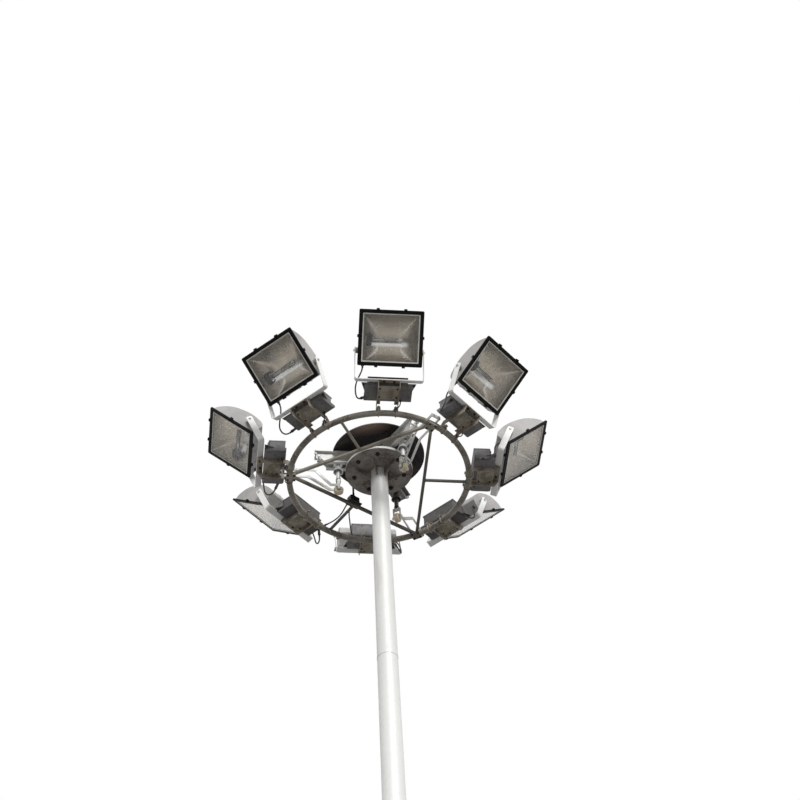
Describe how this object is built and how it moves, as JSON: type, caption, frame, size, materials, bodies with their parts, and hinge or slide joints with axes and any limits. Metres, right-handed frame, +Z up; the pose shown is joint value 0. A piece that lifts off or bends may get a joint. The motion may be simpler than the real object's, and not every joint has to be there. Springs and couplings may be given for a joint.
{
  "type": "high mast floodlight tower",
  "caption": "Tapered round steel mast whose rope-hung ring of tilting floodlights is lowered by a winch; flange base, rain hood head.",
  "frame": {"origin": "centre of the base flange's flat underside", "axes": "+Z up the mast; one floodlight on each of +X, +Y, -X and -Y and one between each pair"},
  "size_m": [3.062, 3.062, 20.5082],
  "materials": {
    "galvanised_steel": "satin",
    "mast_paint": "satin",
    "dark_steel": "matt",
    "hood_black": "matt",
    "rope_steel": "satin",
    "gear_paint": "satin",
    "yoke_white": "satin",
    "housing_grey": "satin",
    "frame_black": "satin",
    "lamp_glass": "clear",
    "reflector": "hammered",
    "wheel_nylon": "satin",
    "cable_black": "matt",
    "bell_zinc": "satin"
  },
  "bodies": {
    "mast": {"base_flange": "mast_paint", "lower_section": "mast_paint", "upper_section": "mast_paint", "winch_door": "mast_paint", "head_plate": "dark_steel", "head_arms": "galvanised_steel", "bell_sockets": "bell_zinc", "sheaves": "rope_steel", "head_ropes": "rope_steel", "head_cable": "cable_black", "rain_hood": "hood_black"},
    "carriage": {"carriage_ring": "dark_steel", "ring_bars": "dark_steel", "suspension_arms": "galvanised_steel", "docking_pins": "bell_zinc", "lifting_ropes": "rope_steel", "supply_junction": "cable_black", "supply_cable": "cable_black", "mounting_brackets": "gear_paint", "gear_boxes": "gear_paint", "yokes": "yoke_white", "lamp_leads": "cable_black", "box_leads": "cable_black"},
    "guide_wheel_1": {"guide_wheel_1": "wheel_nylon"},
    "guide_wheel_2": {"guide_wheel_2": "wheel_nylon"},
    "guide_wheel_3": {"guide_wheel_3": "wheel_nylon"},
    "floodlight_1": {"housing_1": "housing_grey", "front_frame_1": "frame_black", "front_glass_1": "lamp_glass", "optics_1": "reflector"},
    "floodlight_2": {"housing_2": "housing_grey", "front_frame_2": "frame_black", "front_glass_2": "lamp_glass", "optics_2": "reflector"},
    "floodlight_3": {"housing_3": "housing_grey", "front_frame_3": "frame_black", "front_glass_3": "lamp_glass", "optics_3": "reflector"},
    "floodlight_4": {"housing_4": "housing_grey", "front_frame_4": "frame_black", "front_glass_4": "lamp_glass", "optics_4": "reflector"},
    "floodlight_5": {"housing_5": "housing_grey", "front_frame_5": "frame_black", "front_glass_5": "lamp_glass", "optics_5": "reflector"},
    "floodlight_6": {"housing_6": "housing_grey", "front_frame_6": "frame_black", "front_glass_6": "lamp_glass", "optics_6": "reflector"},
    "floodlight_7": {"housing_7": "housing_grey", "front_frame_7": "frame_black", "front_glass_7": "lamp_glass", "optics_7": "reflector"},
    "floodlight_8": {"housing_8": "housing_grey", "front_frame_8": "frame_black", "front_glass_8": "lamp_glass", "optics_8": "reflector"}
  },
  "joints": [
    {"name": "ring_lowering", "type": "slide", "parent": "mast", "child": "carriage", "axis": [0, 0, 1], "range_m": [-18.4, 0]},
    {"name": "floodlight_tilt_1", "type": "hinge", "parent": "carriage", "child": "floodlight_1", "pos_m": [1.168, 0, 20.312], "axis": [0, 1, 0], "range_deg": [-45, 39], "deforming": ["lamp_leads"]},
    {"name": "floodlight_tilt_2", "type": "hinge", "parent": "carriage", "child": "floodlight_2", "pos_m": [0.8259, 0.8259, 20.312], "axis": [-0.7071, 0.7071, 0], "range_deg": [-45, 39], "deforming": ["lamp_leads"]},
    {"name": "floodlight_tilt_3", "type": "hinge", "parent": "carriage", "child": "floodlight_3", "pos_m": [0, 1.168, 20.312], "axis": [-1, 0, 0], "range_deg": [-45, 39], "deforming": ["lamp_leads"]},
    {"name": "floodlight_tilt_4", "type": "hinge", "parent": "carriage", "child": "floodlight_4", "pos_m": [-0.8259, 0.8259, 20.312], "axis": [-0.7071, -0.7071, 0], "range_deg": [-45, 39], "deforming": ["lamp_leads"]},
    {"name": "floodlight_tilt_5", "type": "hinge", "parent": "carriage", "child": "floodlight_5", "pos_m": [-1.168, 0, 20.312], "axis": [0, -1, 0], "range_deg": [-45, 39], "deforming": ["lamp_leads"]},
    {"name": "floodlight_tilt_6", "type": "hinge", "parent": "carriage", "child": "floodlight_6", "pos_m": [-0.8259, -0.8259, 20.312], "axis": [0.7071, -0.7071, 0], "range_deg": [-45, 39], "deforming": ["lamp_leads"]},
    {"name": "floodlight_tilt_7", "type": "hinge", "parent": "carriage", "child": "floodlight_7", "pos_m": [0, -1.168, 20.312], "axis": [1, 0, 0], "range_deg": [-45, 39], "deforming": ["lamp_leads"]},
    {"name": "floodlight_tilt_8", "type": "hinge", "parent": "carriage", "child": "floodlight_8", "pos_m": [0.8259, -0.8259, 20.312], "axis": [0.7071, 0.7071, 0], "range_deg": [-45, 39], "deforming": ["lamp_leads"]},
    {"name": "guide_wheel_spin_1", "type": "hinge", "parent": "carriage", "child": "guide_wheel_1", "pos_m": [0.183, 0.31696, 19.75], "axis": [-0.866, 0.5, 0], "continuous": true},
    {"name": "guide_wheel_spin_2", "type": "hinge", "parent": "carriage", "child": "guide_wheel_2", "pos_m": [-0.366, 0, 19.75], "axis": [0, -1, 0], "continuous": true},
    {"name": "guide_wheel_spin_3", "type": "hinge", "parent": "carriage", "child": "guide_wheel_3", "pos_m": [0.183, -0.31696, 19.75], "axis": [0.866, 0.5, 0], "continuous": true}
  ]
}
